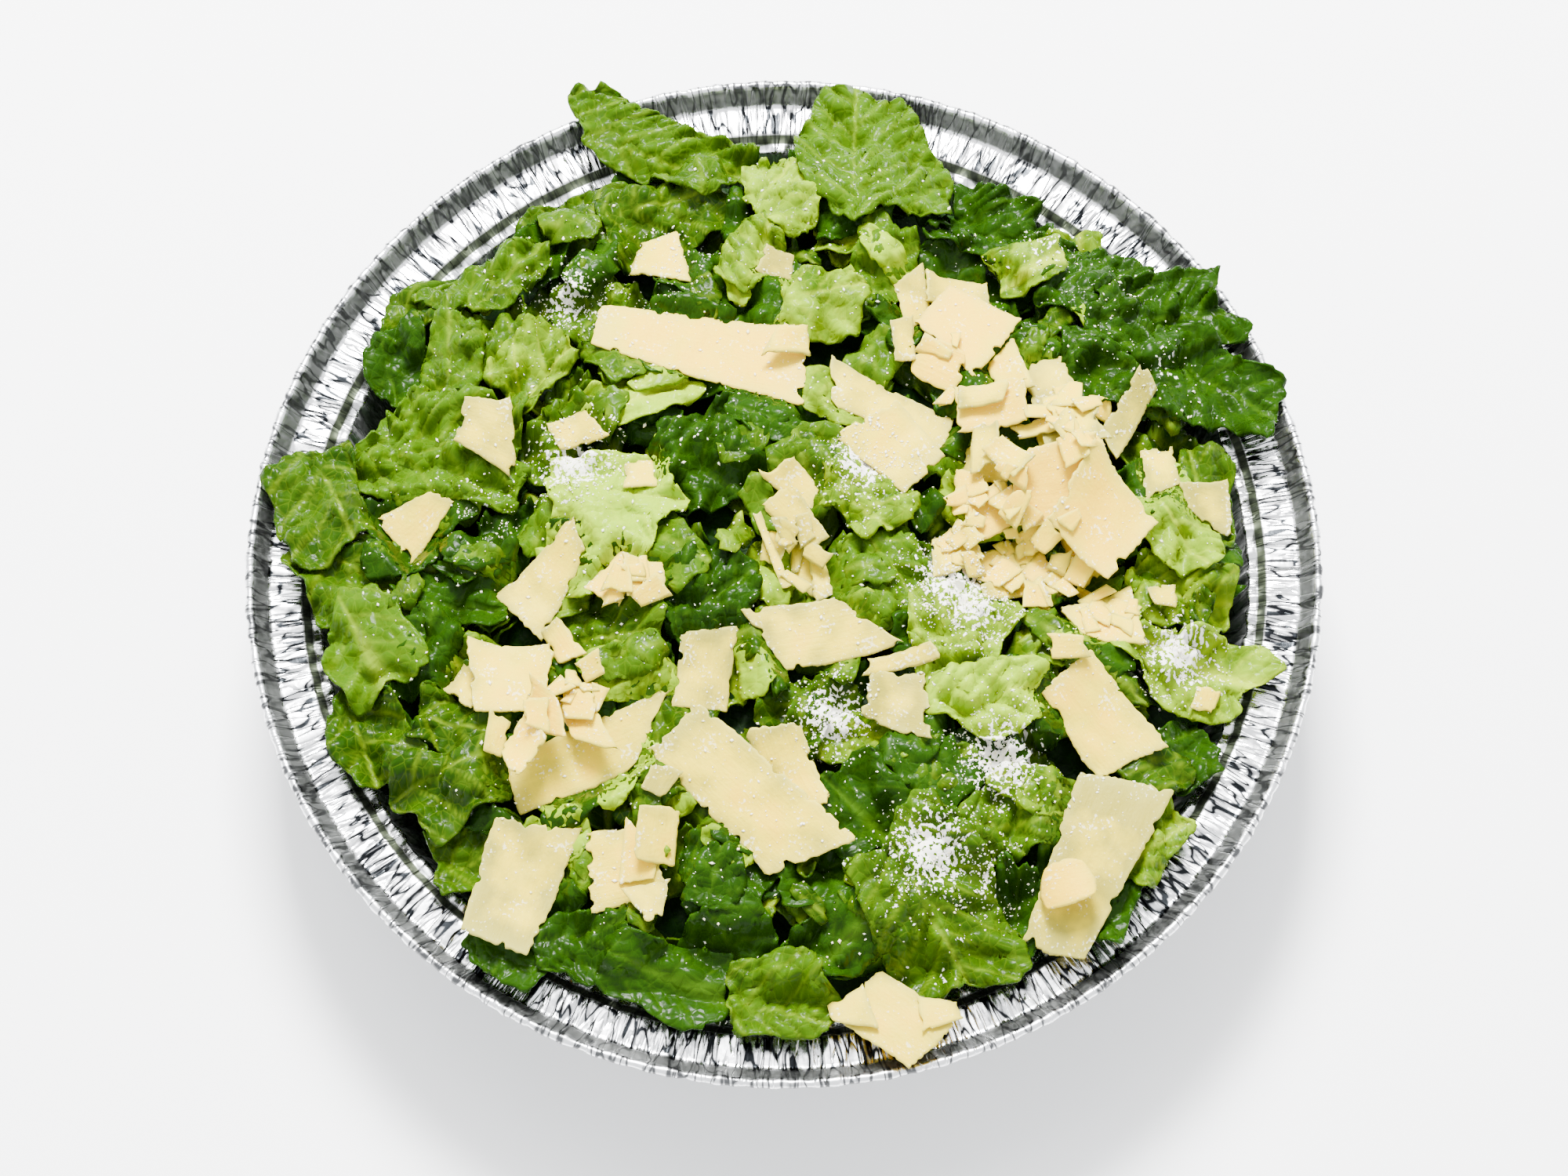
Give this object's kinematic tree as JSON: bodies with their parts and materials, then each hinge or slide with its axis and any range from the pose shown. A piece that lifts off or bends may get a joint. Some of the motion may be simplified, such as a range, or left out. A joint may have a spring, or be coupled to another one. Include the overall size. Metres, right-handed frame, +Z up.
{
  "type": "caesar salad in a foil pan",
  "caption": "Caesar salad of chopped cos lettuce heaped in a round foil takeaway pan, topped with shaved parmesan.",
  "frame": {"origin": "centre of the flat underside of the foil pan's base", "axes": "+Z up, out of the pan; -Y is the side nearest to the viewer; +X is the viewer's right"},
  "size_m": [0.2298, 0.2298, 0.0702],
  "materials": {
    "foil": "bright rolled foil",
    "lettuce": null,
    "parmesan": null
  },
  "bodies": {
    "root": {"foil_pan": "foil", "lettuce_heap": "lettuce", "shaving_bar_chip": "parmesan", "shaving_bent_strip": "parmesan", "shaving_centre_back": "parmesan", "shaving_centre_front": "parmesan", "shaving_centre_large": "parmesan", "shaving_centre_standing": "parmesan", "shaving_centre_under": "parmesan", "shaving_fan_a": "parmesan", "shaving_fan_b": "parmesan", "shaving_far_left": "parmesan", "shaving_far_pale": "parmesan", "shaving_front_arrow": "parmesan", "shaving_front_curl": "parmesan", "shaving_front_hook": "parmesan", "shaving_front_pale": "parmesan", "shaving_heap_back_chip": "parmesan", "shaving_heap_corner": "parmesan", "shaving_heap_edge": "parmesan", "shaving_heap_front_strip": "parmesan", "shaving_heap_golden": "parmesan", "shaving_heap_large": "parmesan", "shaving_heap_left": "parmesan", "shaving_heap_low_left": "parmesan", "shaving_heap_low_right": "parmesan", "shaving_heap_lower": "parmesan", "shaving_heap_middle": "parmesan", "shaving_leaning_strip": "parmesan", "shaving_left_hook": "parmesan", "shaving_left_kite": "parmesan", "shaving_left_low_back": "parmesan", "shaving_left_low_long": "parmesan", "shaving_left_low_tip": "parmesan", "shaving_left_low_top": "parmesan", "shaving_left_low_upper": "parmesan", "shaving_left_low_wedge": "parmesan", "shaving_left_small": "parmesan", "shaving_left_tail": "parmesan", "shaving_left_wedge": "parmesan", "shaving_long_bar": "parmesan", "shaving_middle_square": "parmesan", "shaving_near_bow": "parmesan", "shaving_near_left": "parmesan", "shaving_near_plate": "parmesan", "shaving_pale_chip": "parmesan", "shaving_right_edge": "parmesan", "shaving_right_long": "parmesan", "shaving_right_low": "parmesan", "shaving_right_round": "parmesan", "shaving_right_star": "parmesan", "shaving_right_upper": "parmesan", "shaving_stack_behind": "parmesan", "shaving_stack_far": "parmesan", "shaving_stack_front": "parmesan", "shaving_stack_round": "parmesan", "shaving_stack_square": "parmesan", "shaving_stack_tall": "parmesan", "shaving_stack_top": "parmesan", "shaving_tall_pale": "parmesan"}
  },
  "joints": []
}
